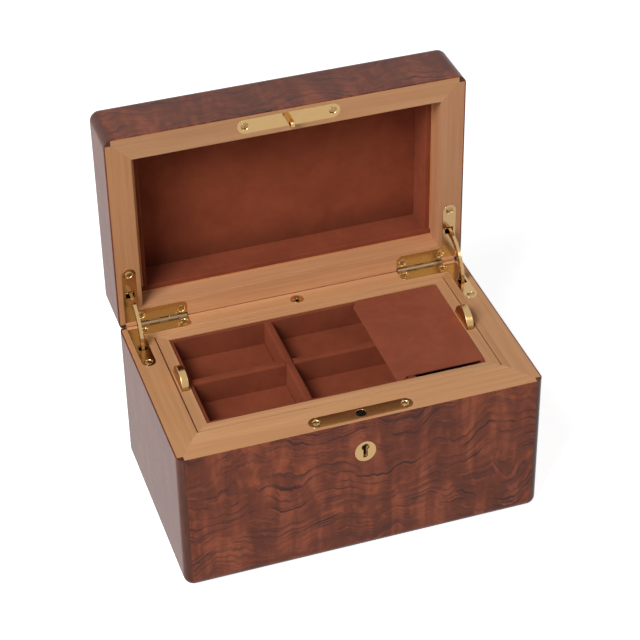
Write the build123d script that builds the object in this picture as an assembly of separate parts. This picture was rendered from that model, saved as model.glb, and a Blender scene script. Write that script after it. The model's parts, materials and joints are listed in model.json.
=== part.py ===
from build123d import *
import math
import os

# Cufflink display box. Millimetres. Origin: centre of the underside, +X to the right, +Y to the back, +Z up.
# The lid is drawn shut and then turned open, because the box stands with its lid open at its stop.

# Outside of the box
WIDTH = 230.0
DEPTH = 140.0
BAIZE = 1.0
RIM = 101.5            # height of the base's rim
LID_HEIGHT = 40.0
JOINT_GAP = 0.4        # gap between the rims of the shut box
EDGING = 4.5           # square dark edging along the outer edges
EDGE_ROUND = 6.4       # rounding of the outer edges, which runs a little onto the veneer
VENEER = 0.9
LID_OPEN_ANGLE = 90.0
BAIZE_INSET = 0.5      # from where the rounding of the foot ends
CUT_OVER = 1.0         # how far cutters run past what they cut

# Base walls and the fixed liner inside them
BASE_INNER_X = 100.7
BASE_INNER_FRONT = -51.6
BASE_INNER_BACK = 55.5
LINER_INNER_X = 96.7
LINER_INNER_FRONT = -47.0
LINER_INNER_BACK = 51.9
WELL_BOARD = 2.2       # lined boards round the storage well; the tray rests on their top edges
WELL_PAD = 1.6

# Lift-out tray
TRAY_HEIGHT = 22.6
TRAY_OUTER_X = 95.9
TRAY_FRONT = -46.6
TRAY_BACK = 51.5
TRAY_INNER_X = 88.9
TRAY_INNER_FRONT = -40.8
TRAY_INNER_BACK = 46.5
TRAY_BOTTOM = 2.5
TRAY_LINING = 2.5
TRAY_PAD = 3.8
DIVIDER = 5.4
DIVIDER_DROP = 0.7     # dividers and linings stop this far below the rim
LONG_DIVIDERS = (-24.55, 41.2)
CROSS_DIVIDER = 1.4
DIVIDER_ROUND = 1.8
FINGER_GAP_DROP = 10.0  # the front lining under the flap stops this far below the rim

# Flap over the right-hand compartment
FLAP_LEFT = 30.75
FLAP_RIGHT = 88.6
FLAP_FRONT = -40.6
FLAP_AXIS_Y = 45.4
FLAP_THICK = 0.9
FLAP_REST_GAP = 0.03
FLAP_AXIS_Z = RIM - DIVIDER_DROP + FLAP_REST_GAP + FLAP_THICK / 2
FLAP_CORNER_X = 4.2    # cut corner at the back left
FLAP_CORNER_Y = 6.2
FLAP_ROUND = 2.5
FLAP_TAB_ROUND = 2.0
FINGER_NOTCH_START = 35.0   # the notch slopes in from here
FINGER_NOTCH_FULL = 38.6    # to its full depth here
FINGER_NOTCH_DEPTH = 2.8

# Half-moon tray lifts, turning in slots in the tray's side rails
LIFT_RADIUS = 10.6
LIFT_PIVOT_DROP = 1.1
LIFT_THICK = 4.6
LIFT_X = 92.2
LIFT_Y = 3.6
LIFT_CLEAR = 0.1
LIFT_PIN_RADIUS = 0.7
LIFT_PIN_LENGTH = 6.2
LIFT_EDGE = 0.5

# Lid
LID_WALL = 16.2
LID_DEPTH_INSIDE = 34.2
LID_LINING_START = 14.0
LID_LINING = 4.5
LID_LINING_MORE_LEFT = 2.2  # how much further in the left board stands than the others

# Stay hinges: an L-shaped leaf each side on base and lid, and a quadrant arm between them
HINGE_Y = 67.3
HINGE_Z = RIM + JOINT_GAP / 2
LEAF_THICK = 2.2
LEAF_END_X = 70.4
LEAF_INNER_X = 101.7
LEAF_WIDTH = 9.0
LEAF_FRONT_Y = 24.0
LEAF_BACK_FRONT_Y = 56.4
LEAF_CORNER_Y = 64.3
LEAF_END_ROUND = 3.5
BARREL_RADIUS = 1.7
BARREL_START_X = 71.0
BARREL_END_X = 101.4
BARREL_GROOVE = 1.95
KNUCKLES = 5
KNUCKLE_GAP = 0.15
PIN_RADIUS = 0.78
PIN_FIT = 0.02
KNUCKLE_RUNNING_FIT = 0.06
BACK_BEVEL_GAP = 0.21  # how far each back bevel stays from the hinge axis, along Y

ARM_RADIUS = 23.8
ARM_WIDTH = 4.4
ARM_THICK = 2.0
ARM_X = LEAF_INNER_X + LEAF_WIDTH / 2
ARM_OVERRUN = 11.0     # degrees of arm beyond each leaf with the lid open
ARM_LUG_ANGLE = 8.0
ARM_LUG_RADIUS = 0.8
ARM_LUG_LENGTH = 7.4
SLOT_WIDTH = 5.6
SLOT_NEAR = 21.2       # slot ends, measured from the hinge axis
SLOT_FAR = 26.4
MORTISE_WIDTH = 7.8
MORTISE_NEAR = 10.8
MORTISE_FAR = 30.2
MORTISE_DEPTH = 24.7

# Lock in the front wall, and the hook plate on the lid
LOCK_Y = -62.0
PLATE_LENGTH = 65.6
PLATE_WIDTH = 9.8
PLATE_THICK = 1.6
PLATE_SCREW_X = 28.0
HOOK_HOLE_RADIUS = 3.2
CASE_LENGTH = 45.2
CASE_DEPTH = 9.2
CASE_HEIGHT = 29.3
CASE_WALL = 1.4
KEY_DROP = 20.25       # key centre below the rim
KEY_RADIUS = 2.45
KEY_SLOT = 2.7
KEY_SLOT_END = 28.0
KEY_POST_RADIUS = 1.1
ESCUTCHEON_DROP = 23.4
ESCUTCHEON_WIDTH = 13.5
ESCUTCHEON_HEIGHT = 15.0
ESCUTCHEON_THICK = 1.2
HOOK_WIDTH = 3.2
HOOK_DEPTH = 4.4
HOOK_REACH = 9.0
HOOK_ROUND = 1.3
HOOK_WINDOW_Y = 2.8
HOOK_WINDOW_Z = 3.0
HOOK_WINDOW_DROP = 6.2
BOLT_THICK = 2.2
BOLT_LEFT = -17.0
BOLT_RIGHT = 8.0
BOLT_ARM_RIGHT = -9.0
BOLT_TIP_END = -2.6
BOLT_LOW_DROP = 15.9   # heights of the bolt's steps, below the rim
BOLT_SHELF_DROP = 9.9
BOLT_TIP_LOW_DROP = 6.9
BOLT_TIP_HIGH_DROP = 4.7
TALON_HALF = 2.4
TALON_HEIGHT = 2.8

# Screws and the bush in the back rim
SCREW_HEAD = 2.4
SCREW_HEAD_DEPTH = 1.5
SCREW_SHANK = 1.1
SCREW_LENGTH = 11.0
SCREW_CLEAR = 0.06
SCREW_SLOT = 0.6
HINGE_SCREWS = ((74.5, 61.8), (100.3, 60.8), (106.2, 28.3))
BUSH_Y = 60.3
BUSH_RADIUS = 4.3
BUSH_HEIGHT = 6.0
BUSH_HOLE = 1.1
BUSH_RING = 1.0
BUSH_DISH = 1.0

HALF_W = WIDTH / 2
HALF_D = DEPTH / 2
FOOT_TOP = BAIZE + EDGING
LID_RIM = RIM + JOINT_GAP
LID_TOP = LID_RIM + LID_HEIGHT
LID_WALL_TOP = LID_TOP - EDGING
TRAY_Z = RIM - TRAY_HEIGHT
TRAY_FLOOR = TRAY_Z + TRAY_BOTTOM
DIVIDER_TOP = RIM - DIVIDER_DROP
LIFT_Z = RIM - LIFT_PIVOT_DROP

nodes = {}


def keep(name, *solids):
    """Store a node's solids under its name."""
    nodes[name] = [s for shape in solids for s in shape.solids()]


def block(x0, x1, y0, y1, z0, z1):
    """An upright box between opposite corners."""
    centre = ((x0 + x1) / 2, (y0 + y1) / 2, (z0 + z1) / 2)
    return Pos(*centre) * Box(abs(x1 - x0), abs(y1 - y0), abs(z1 - z0))


def prism(points, z0, z1):
    """A plan outline raised from z0 to z1."""
    return extrude(Pos(0, 0, z0) * make_face(Polyline(*points, close=True)), z1 - z0)


def rod(x0, x1, y, z, radius):
    """A round rod along X."""
    return Pos((x0 + x1) / 2, y, z) * Rot(0, 90, 0) * Cylinder(radius, abs(x1 - x0))


def side(shape, sign):
    """The shape as drawn for the right-hand side, or its mirror image for the left."""
    return shape if sign > 0 else shape.mirror(Plane.YZ)


def carve(shape, cutters):
    """The shape with every cutter taken away."""
    for cutter in cutters:
        shape = shape - cutter
    return shape


def mitred_ring(outer_x, outer_front, outer_back, inner_x, inner_front, inner_back, z0, z1):
    """Front, back, left and right pieces of a rectangular ring, meeting at mitres."""
    front = [(-outer_x, outer_front), (outer_x, outer_front), (inner_x, inner_front), (-inner_x, inner_front)]
    back = [(-outer_x, outer_back), (outer_x, outer_back), (inner_x, inner_back), (-inner_x, inner_back)]
    right = [(outer_x, outer_front), (outer_x, outer_back), (inner_x, inner_back), (inner_x, inner_front)]
    left = [(-x, y) for x, y in right]
    return [prism(points, z0, z1) for points in (front, back, left, right)]


def boarded_ring(outer_x, front, back, thick, z0, z1, more_left=0.0):
    """Front and back boards of full width with the side boards between them.

    more_left is added to the left board's thickness.
    """
    return [
        block(-outer_x, outer_x, front, front + thick, z0, z1),
        block(-outer_x, outer_x, back - thick, back, z0, z1),
        block(-outer_x, thick + more_left - outer_x, front + thick, back - thick, z0, z1),
        block(outer_x - thick, outer_x, front + thick, back - thick, z0, z1),
    ]


def carcass_walls(inner_x, inner_front, inner_back, z0, z1):
    """Four walls inside the veneer, mitred as far as the squares that hold the corner posts."""
    face_x, face_y = HALF_W - VENEER, HALF_D - VENEER
    post_x, post_y = HALF_W - EDGING, HALF_D - EDGING
    walls = []
    for inner, sign in ((inner_front, -1), (inner_back, 1)):
        half = [(inner_x, inner), (post_x, sign * post_y), (post_x, sign * face_y)]
        walls.append(prism(half + [(-x, y) for x, y in reversed(half)], z0, z1))
    half = [(inner_x, inner_back), (post_x, post_y), (face_x, post_y)]
    front_half = [(face_x, -post_y), (post_x, -post_y), (inner_x, inner_front)]
    right = half + front_half
    left = [(-x, y) for x, y in right]
    return walls + [prism(left, z0, z1), prism(right, z0, z1)]


def side_veneers(form, z0, z1):
    """The four veneer sheets between the corner posts: front, back, left and right."""
    post_x, post_y = HALF_W - EDGING, HALF_D - EDGING
    sheets = [
        block(-post_x, post_x, -HALF_D, VENEER - HALF_D, z0, z1),
        block(-post_x, post_x, HALF_D - VENEER, HALF_D, z0, z1),
        block(-HALF_W, VENEER - HALF_W, -post_y, post_y, z0, z1),
        block(HALF_W - VENEER, HALF_W, -post_y, post_y, z0, z1),
    ]
    return [form & sheet for sheet in sheets]


def inside_edging(form, z0, z1):
    """A board or sheet as wide as the space inside the edging."""
    post_x, post_y = HALF_W - EDGING, HALF_D - EDGING
    return form & block(-post_x, post_x, -post_y, post_y, z0, z1)


def rounded_form(z0, z1, round_bottom):
    """The box's outer form: upright edges and the bottom or top edges rounded."""
    form = block(-HALF_W, HALF_W, -HALF_D, HALF_D, z0, z1)
    flat = form.faces().sort_by(Axis.Z)[0 if round_bottom else -1]
    return fillet(form.edges().filter_by(Axis.Z) + flat.edges(), EDGE_ROUND)


def corner_posts(form, z0, z1):
    """Four upright edging posts."""
    post_x, post_y = HALF_W - EDGING, HALF_D - EDGING
    posts = []
    for sx in (-1, 1):
        for sy in (-1, 1):
            corner = block(sx * post_x, sx * HALF_W, sy * post_y, sy * HALF_D, z0, z1)
            posts.append(form & corner)
    return posts


def perimeter_edging(form, z0, z1):
    """Four mitred edging strips round the foot or the top."""
    post_x, post_y = HALF_W - EDGING, HALF_D - EDGING
    ring = mitred_ring(HALF_W, -HALF_D, HALF_D, post_x, -post_y, post_y, z0, z1)
    return [form & strip for strip in ring]


def screw(clear=0.0):
    """A countersunk wood screw with its head up at the origin, or with clear the hole that it fits."""
    length = SCREW_LENGTH + clear
    head = Pos(0, 0, -SCREW_HEAD_DEPTH / 2) * Cone(SCREW_SHANK + clear, SCREW_HEAD + clear, SCREW_HEAD_DEPTH)
    return head + Pos(0, 0, -length / 2) * Cylinder(SCREW_SHANK + clear, length)


def slotted_screw(turn):
    """A screw with a driver slot, turned about its axis."""
    slot = Pos(0, 0, -SCREW_SLOT / 2) * Box(2 * SCREW_HEAD + CUT_OVER, SCREW_SLOT, SCREW_SLOT)
    return Rot(0, 0, turn) * (screw() - slot)


def up_and_down(shape):
    """The shape turned upside down in place about the hinge axis's height, as the lid's copy."""
    return shape.mirror(Plane(origin=(0, 0, HINGE_Z), z_dir=(0, 0, 1)))


def long_plate(z0, z1):
    """The round-ended plate shared by the lock and the hook."""
    straight = PLATE_LENGTH - PLATE_WIDTH
    plate = Pos(0, LOCK_Y, z0) * SlotCenterToCenter(straight, PLATE_WIDTH)
    return extrude(plate, z1 - z0)


def plate_screws(z, turns):
    """The two screws of a long plate, at its rim height."""
    return [Pos(sign * PLATE_SCREW_X, LOCK_Y, z) * slotted_screw(turn) for sign, turn in zip((-1, 1), turns)]


def plate_screw_holes(z):
    """The holes for a long plate's screws."""
    return [Pos(sign * PLATE_SCREW_X, LOCK_Y, z) * screw(SCREW_CLEAR) for sign in (-1, 1)]


def leaf_blank(z0, z1):
    """The right-hand leaf's outline, raised."""
    outer_x = LEAF_INNER_X + LEAF_WIDTH
    end_y = LEAF_FRONT_Y + LEAF_WIDTH / 2
    back_leg = block(LEAF_END_X, LEAF_INNER_X, LEAF_BACK_FRONT_Y, HINGE_Y, z0, z1)
    back_edge = back_leg.edges().filter_by(Axis.Z).group_by(Axis.X)[0].sort_by(Axis.Y)[0]
    back_leg = fillet(back_edge, LEAF_END_ROUND)
    side_leg = block(LEAF_INNER_X, outer_x, end_y, LEAF_CORNER_Y, z0, z1)
    round_end = Pos(ARM_X, end_y, (z0 + z1) / 2) * Cylinder(LEAF_WIDTH / 2, z1 - z0)
    return back_leg + side_leg + round_end


def knuckle_spans():
    """The X span of every knuckle, from the free end to the corner."""
    pitch = (BARREL_END_X - BARREL_START_X) / KNUCKLES
    return [(BARREL_START_X + i * pitch, BARREL_START_X + (i + 1) * pitch) for i in range(KNUCKLES)]


def hinge_leaf(owned, hole_radius):
    """The right-hand base leaf with the knuckles in owned; the lid's leaf is the same shape turned over."""
    leaf = leaf_blank(RIM - LEAF_THICK, RIM)
    for i, (x0, x1) in enumerate(knuckle_spans()):
        if i in owned:
            leaf = leaf + rod(x0 + KNUCKLE_GAP / 2, x1 - KNUCKLE_GAP / 2, HINGE_Y, HINGE_Z, BARREL_RADIUS)
        else:
            leaf = leaf - rod(x0 - KNUCKLE_GAP / 2, x1 + KNUCKLE_GAP / 2, HINGE_Y, HINGE_Z, BARREL_GROOVE)
    leaf = leaf - rod(LEAF_END_X - CUT_OVER, LEAF_INNER_X + CUT_OVER, HINGE_Y, HINGE_Z, hole_radius)
    slot = block(
        ARM_X - SLOT_WIDTH / 2, ARM_X + SLOT_WIDTH / 2,
        HINGE_Y - SLOT_FAR, HINGE_Y - SLOT_NEAR, RIM - LEAF_THICK, RIM,
    )
    return carve(leaf - slot, [Pos(x, y, RIM) * screw(SCREW_CLEAR) for x, y in HINGE_SCREWS])


def hinge_pocket():
    """What the right-hand hinge takes out of the base's wood."""
    mortise = block(
        ARM_X - MORTISE_WIDTH / 2, ARM_X + MORTISE_WIDTH / 2,
        HINGE_Y - MORTISE_FAR, HINGE_Y - MORTISE_NEAR, HINGE_Z - MORTISE_DEPTH, RIM - LEAF_THICK,
    )
    groove = rod(LEAF_END_X, LEAF_INNER_X, HINGE_Y, HINGE_Z, BARREL_GROOVE)
    holes = [Pos(x, y, RIM) * screw(SCREW_CLEAR) for x, y in HINGE_SCREWS]
    return [leaf_blank(RIM - LEAF_THICK, RIM), mortise, groove, *holes]


def back_bevel():
    """The wedge off the base's top back edge, which lets the lid open to its stop."""
    reach = HINGE_Y + HINGE_Z - BACK_BEVEL_GAP
    outline = Polyline((HALF_D, reach - HALF_D), (HALF_D, RIM), (reach - RIM, RIM), close=True)
    return extrude(Plane.YZ * make_face(outline), HALF_W + CUT_OVER, both=True)


def stay_arm():
    """The right-hand quadrant arm as it stands with the lid open, with a lug at each end."""
    start = 90 - ARM_OVERRUN
    sweep = 90 + 2 * ARM_OVERRUN
    radii = (ARM_RADIUS - ARM_WIDTH / 2, ARM_RADIUS + ARM_WIDTH / 2)
    arcs = [CenterArc((0, 0), radius, start, sweep) for radius in radii]
    ends = [Line(arcs[0] @ end, arcs[1] @ end) for end in (0, 1)]
    outline = arcs + ends
    at_axis = Plane(origin=(ARM_X, HINGE_Y, HINGE_Z), x_dir=(0, 1, 0), z_dir=(1, 0, 0))
    arm = extrude(at_axis * make_face(outline), ARM_THICK / 2, both=True)
    for angle in (90 - ARM_LUG_ANGLE, 180 + ARM_LUG_ANGLE):
        y = HINGE_Y + ARM_RADIUS * math.cos(math.radians(angle))
        z = HINGE_Z + ARM_RADIUS * math.sin(math.radians(angle))
        arm = arm + rod(ARM_X - ARM_LUG_LENGTH / 2, ARM_X + ARM_LUG_LENGTH / 2, y, z, ARM_LUG_RADIUS)
    return arm


def keyhole(y0, y1):
    """A keyhole cut along Y through whatever it meets."""
    key_z = RIM - KEY_DROP
    barrel = Pos(0, (y0 + y1) / 2, key_z) * Rot(90, 0, 0) * Cylinder(KEY_RADIUS, y1 - y0)
    return barrel + block(-KEY_SLOT / 2, KEY_SLOT / 2, y0, y1, RIM - KEY_SLOT_END, key_z)


def escutcheon_blank():
    """The oval plate on the front, before its keyhole."""
    oval = Ellipse(ESCUTCHEON_WIDTH / 2, ESCUTCHEON_HEIGHT / 2)
    face = Plane(origin=(0, -HALF_D, RIM - ESCUTCHEON_DROP), x_dir=(1, 0, 0), z_dir=(0, 1, 0)) * oval
    return extrude(face, ESCUTCHEON_THICK)


def lock_case_block():
    """The outside of the lock's case."""
    top = RIM - PLATE_THICK
    return block(
        -CASE_LENGTH / 2, CASE_LENGTH / 2, LOCK_Y - CASE_DEPTH / 2, LOCK_Y + CASE_DEPTH / 2,
        top - CASE_HEIGHT, top,
    )


def lock_case():
    """The case with its cavity, keyhole and key post."""
    top = RIM - PLATE_THICK
    inner_back = LOCK_Y + CASE_DEPTH / 2 - CASE_WALL
    cavity = block(
        CASE_WALL - CASE_LENGTH / 2, CASE_LENGTH / 2 - CASE_WALL,
        LOCK_Y - CASE_DEPTH / 2 + CASE_WALL, inner_back, top - CASE_HEIGHT + CASE_WALL, top,
    )
    post_length = CASE_DEPTH - CASE_WALL
    post = Pos(0, inner_back - post_length / 2, RIM - KEY_DROP) * Rot(90, 0, 0)
    hollow = lock_case_block() - cavity - keyhole(LOCK_Y - CASE_DEPTH / 2, LOCK_Y)
    return hollow + post * Cylinder(KEY_POST_RADIUS, post_length)


def lock_bolt():
    """The sliding bolt, drawn back. Its tip enters the hook's window."""
    low, shelf = RIM - BOLT_LOW_DROP, RIM - BOLT_SHELF_DROP
    tip_low, tip_high = RIM - BOLT_TIP_LOW_DROP, RIM - BOLT_TIP_HIGH_DROP
    outline = Polyline(
        (BOLT_LEFT, low), (-TALON_HALF, low), (-TALON_HALF, low + TALON_HEIGHT),
        (TALON_HALF, low + TALON_HEIGHT), (TALON_HALF, low), (BOLT_RIGHT, low),
        (BOLT_RIGHT, shelf), (BOLT_ARM_RIGHT, shelf), (BOLT_ARM_RIGHT, tip_low),
        (BOLT_TIP_END, tip_low), (BOLT_TIP_END, tip_high), (BOLT_LEFT, tip_high), close=True,
    )
    at_lock = Plane(origin=(0, LOCK_Y, 0), x_dir=(1, 0, 0), z_dir=(0, -1, 0))
    return extrude(at_lock * make_face(outline), BOLT_THICK / 2, both=True)


def lid_hook():
    """The staple that hangs from the lid's plate into the lock, with a window for the bolt."""
    staple = block(
        -HOOK_WIDTH / 2, HOOK_WIDTH / 2, LOCK_Y - HOOK_DEPTH / 2, LOCK_Y + HOOK_DEPTH / 2,
        LID_RIM - HOOK_REACH, LID_RIM,
    )
    low_end = staple.faces().sort_by(Axis.Z)[0]
    staple = fillet(staple.edges().filter_by(Axis.Z) + low_end.edges(), HOOK_ROUND)
    window_z = LID_RIM - HOOK_WINDOW_DROP
    return staple - block(
        -HOOK_WIDTH, HOOK_WIDTH, LOCK_Y - HOOK_WINDOW_Y / 2, LOCK_Y + HOOK_WINDOW_Y / 2,
        window_z - HOOK_WINDOW_Z / 2, window_z + HOOK_WINDOW_Z / 2,
    )


def rim_bush():
    """The turned brass bush in the back rim, dished round its small hole."""
    blank = Pos(0, BUSH_Y, RIM - BUSH_HEIGHT / 2) * Cylinder(BUSH_RADIUS, BUSH_HEIGHT)
    dish = Pos(0, BUSH_Y, RIM - BUSH_DISH / 2) * Cone(BUSH_HOLE, BUSH_RADIUS - BUSH_RING, BUSH_DISH)
    hole = Pos(0, BUSH_Y, RIM - BUSH_HEIGHT / 2) * Cylinder(BUSH_HOLE, BUSH_HEIGHT)
    return blank - dish - hole


def tray_lift():
    """The right-hand half-moon lift, turned up, with its pin hole."""
    disc = rod(LIFT_X - LIFT_THICK / 2, LIFT_X + LIFT_THICK / 2, LIFT_Y, LIFT_Z, LIFT_RADIUS)
    moon = disc & block(
        LIFT_X - LIFT_THICK, LIFT_X + LIFT_THICK, LIFT_Y - LIFT_RADIUS, LIFT_Y + LIFT_RADIUS,
        LIFT_Z - LIFT_PIVOT_DROP, LIFT_Z + LIFT_RADIUS + CUT_OVER,
    )
    moon = fillet(moon.edges().filter_by(GeomType.CIRCLE), LIFT_EDGE)
    bore = LIFT_PIN_RADIUS + KNUCKLE_RUNNING_FIT
    return moon - rod(LIFT_X - LIFT_THICK, LIFT_X + LIFT_THICK, LIFT_Y, LIFT_Z, bore)


def tray_lift_pin():
    """The pin that the right-hand lift turns on."""
    return rod(LIFT_X - LIFT_PIN_LENGTH / 2, LIFT_X + LIFT_PIN_LENGTH / 2, LIFT_Y, LIFT_Z, LIFT_PIN_RADIUS)


def tray_lift_pocket():
    """What a right-hand lift and its pin take out of the tray's side rail."""
    half = LIFT_THICK / 2 + LIFT_CLEAR
    slot = rod(LIFT_X - half, LIFT_X + half, LIFT_Y, LIFT_Z, LIFT_RADIUS + LIFT_CLEAR)
    return [slot, tray_lift_pin()]


def flap():
    """The lined flap: a board with a rolled back edge, which is its hinge, and a finger notch in front."""
    low, high = FLAP_AXIS_Z - FLAP_THICK / 2, FLAP_AXIS_Z + FLAP_THICK / 2
    notch_y = FLAP_FRONT + FINGER_NOTCH_DEPTH
    corner_x = FLAP_LEFT + FLAP_CORNER_X
    outline = [
        (FLAP_LEFT, FLAP_FRONT), (FINGER_NOTCH_START, FLAP_FRONT), (FINGER_NOTCH_FULL, notch_y),
        (FLAP_RIGHT, notch_y), (FLAP_RIGHT, FLAP_AXIS_Y), (corner_x, FLAP_AXIS_Y),
        (FLAP_LEFT, FLAP_AXIS_Y + FLAP_THICK / 2 - FLAP_CORNER_Y),
    ]
    board = prism(outline, low, high)
    roll = rod(corner_x, FLAP_RIGHT - FLAP_ROUND, FLAP_AXIS_Y, FLAP_AXIS_Z, FLAP_THICK / 2)
    upright = board.edges().filter_by(Axis.Z).sort_by(lambda edge: edge.center().X + edge.center().Y)
    board = fillet(upright[-1], FLAP_ROUND)
    upright = board.edges().filter_by(Axis.Z).sort_by(lambda edge: edge.center().X + edge.center().Y)
    return fillet(upright[:2], FLAP_TAB_ROUND) + roll


def rounded_top(board, radius):
    """A board with its long top edges rounded."""
    top = board.faces().sort_by(Axis.Z)[-1]
    size = top.bounding_box().size
    along = Axis.X if size.X > size.Y else Axis.Y
    return fillet(top.edges().filter_by(along), radius)


# ---- base -------------------------------------------------------------------------------------
base_form = rounded_form(BAIZE, RIM, round_bottom=True)
pockets = [side(cutter, sign) for sign in (-1, 1) for cutter in hinge_pocket()]
lock_cutters = [long_plate(RIM - PLATE_THICK, RIM), lock_case_block(), *plate_screw_holes(RIM)]
front_cutters = [escutcheon_blank(), keyhole(-HALF_D, LOCK_Y)]
bush_hole = Pos(0, BUSH_Y, RIM - BUSH_HEIGHT / 2) * Cylinder(BUSH_RADIUS, BUSH_HEIGHT)

front, back, left, right = carcass_walls(BASE_INNER_X, BASE_INNER_FRONT, BASE_INNER_BACK, FOOT_TOP, RIM)
keep("base_front_wall", carve(front, lock_cutters + front_cutters))
keep("base_back_wall", carve(back, pockets + [back_bevel(), bush_hole]))
keep("base_left_wall", carve(left, pockets))
keep("base_right_wall", carve(right, pockets))
keep("base_bottom_board", inside_edging(base_form, BAIZE, FOOT_TOP))

front, back, left, right = side_veneers(base_form, FOOT_TOP, RIM)
keep("base_front_veneer", carve(front, front_cutters))
keep("base_back_veneer", back - back_bevel())
keep("base_side_veneers", left, right)
keep("base_corner_posts", *[post - back_bevel() for post in corner_posts(base_form, FOOT_TOP, RIM)])
keep("base_foot_edging", *perimeter_edging(base_form, BAIZE, FOOT_TOP))
baize_x, baize_y = HALF_W - EDGE_ROUND - BAIZE_INSET, HALF_D - EDGE_ROUND - BAIZE_INSET
keep("underside_baize", block(-baize_x, baize_x, -baize_y, baize_y, 0, BAIZE))

liner = mitred_ring(
    BASE_INNER_X, BASE_INNER_FRONT, BASE_INNER_BACK,
    LINER_INNER_X, LINER_INNER_FRONT, LINER_INNER_BACK, FOOT_TOP, RIM,
)
for name, board in zip(("front", "back", "left", "right"), liner):
    keep(f"liner_{name}", board)
well_floor = FOOT_TOP + WELL_PAD
keep(
    "well_floor_pad",
    block(-LINER_INNER_X, LINER_INNER_X, LINER_INNER_FRONT, LINER_INNER_BACK, FOOT_TOP, well_floor),
)
keep(
    "well_lining_boards",
    *boarded_ring(LINER_INNER_X, LINER_INNER_FRONT, LINER_INNER_BACK, WELL_BOARD, well_floor, TRAY_Z),
)

hook_hole = Pos(0, LOCK_Y, RIM - PLATE_THICK / 2) * Cylinder(HOOK_HOLE_RADIUS, PLATE_THICK)
keep("lock_plate", carve(long_plate(RIM - PLATE_THICK, RIM), [hook_hole, *plate_screw_holes(RIM)]))
keep("lock_case", lock_case())
keep("lock_bolt", lock_bolt())
keep("keyhole_escutcheon", escutcheon_blank() - keyhole(-HALF_D, LOCK_Y))
keep("rim_bush", rim_bush())

base_knuckles = range(0, KNUCKLES, 2)
lid_knuckles = range(1, KNUCKLES, 2)
base_leaf = hinge_leaf(base_knuckles, PIN_RADIUS + PIN_FIT)
lid_leaf = up_and_down(hinge_leaf(lid_knuckles, PIN_RADIUS + KNUCKLE_RUNNING_FIT))
hinge_pin = rod(BARREL_START_X, BARREL_END_X, HINGE_Y, HINGE_Z, PIN_RADIUS)
screw_turns = (35, -20, 70)
leaf_screws = [Pos(x, y, RIM) * slotted_screw(turn) for (x, y), turn in zip(HINGE_SCREWS, screw_turns)]
for name, sign in (("left", -1), ("right", 1)):
    keep(f"base_hinge_leaf_{name}", side(base_leaf, sign))
    keep(f"stay_arm_{name}", side(stay_arm(), sign))
keep("hinge_pins", side(hinge_pin, -1), hinge_pin)
base_leaf_screws = [side(one, sign) for sign in (-1, 1) for one in leaf_screws]
keep("base_screws", *base_leaf_screws, *plate_screws(RIM, (20, -50)))

# ---- tray -------------------------------------------------------------------------------------
lift_pockets = [side(cutter, sign) for sign in (-1, 1) for cutter in tray_lift_pocket()]
rails = mitred_ring(
    TRAY_OUTER_X, TRAY_FRONT, TRAY_BACK, TRAY_INNER_X, TRAY_INNER_FRONT, TRAY_INNER_BACK, TRAY_Z, RIM,
)
for name, rail in zip(("front", "back", "left", "right"), rails):
    keep(f"tray_{name}_rail", carve(rail, lift_pockets))
keep(
    "tray_bottom",
    block(-TRAY_INNER_X, TRAY_INNER_X, TRAY_INNER_FRONT, TRAY_INNER_BACK, TRAY_Z, TRAY_FLOOR),
)

cell_left = TRAY_LINING - TRAY_INNER_X
cell_right = TRAY_INNER_X - TRAY_LINING
cell_front = TRAY_INNER_FRONT + TRAY_LINING
cell_back = TRAY_INNER_BACK - TRAY_LINING
half_divider = DIVIDER / 2
edges_x = [cell_left]
for x in LONG_DIVIDERS:
    edges_x += [x - half_divider, x + half_divider]
edges_x.append(cell_right)

front, back, left, right = boarded_ring(
    TRAY_INNER_X, TRAY_INNER_FRONT, TRAY_INNER_BACK, TRAY_LINING, TRAY_FLOOR, DIVIDER_TOP,
)
finger_gap = block(edges_x[4], cell_right, TRAY_INNER_FRONT, cell_front, RIM - FINGER_GAP_DROP, DIVIDER_TOP)
keep("tray_lining_boards", front - finger_gap, back, left, right)

long_dividers = []
for x in LONG_DIVIDERS:
    board = block(x - half_divider, x + half_divider, cell_front, cell_back, TRAY_FLOOR, DIVIDER_TOP)
    long_dividers.append(rounded_top(board, DIVIDER_ROUND))
keep("tray_long_dividers", *long_dividers)

pad_top = TRAY_FLOOR + TRAY_PAD
cross_dividers = []
pads = [block(edges_x[4], edges_x[5], cell_front, cell_back, TRAY_FLOOR, pad_top)]
for x0, x1 in (edges_x[0:2], edges_x[2:4]):
    front_face, back_face = CROSS_DIVIDER - half_divider, CROSS_DIVIDER + half_divider
    board = block(x0, x1, front_face, back_face, TRAY_FLOOR, DIVIDER_TOP)
    cross_dividers.append(rounded_top(board, DIVIDER_ROUND))
    pads.append(block(x0, x1, cell_front, front_face, TRAY_FLOOR, pad_top))
    pads.append(block(x0, x1, back_face, cell_back, TRAY_FLOOR, pad_top))
keep("tray_cross_dividers", *cross_dividers)
keep("tray_floor_pads", *pads)
for name, sign in (("left", -1), ("right", 1)):
    keep(f"tray_lift_{name}", side(tray_lift(), sign))
keep("tray_lift_pins", side(tray_lift_pin(), -1), tray_lift_pin())
keep("tray_flap", flap())

# ---- lid, drawn shut --------------------------------------------------------------------------
base_nodes = set(nodes)
lid_form = rounded_form(LID_RIM, LID_TOP, round_bottom=False)
lid_x, lid_y = HALF_W - LID_WALL, HALF_D - LID_WALL
lid_pockets = [up_and_down(cutter) for cutter in pockets]
lid_bevel = up_and_down(back_bevel())
hook_plate = long_plate(RIM - PLATE_THICK, RIM)
hook_cutters = [up_and_down(cutter) for cutter in (hook_plate, *plate_screw_holes(RIM))]

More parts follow.
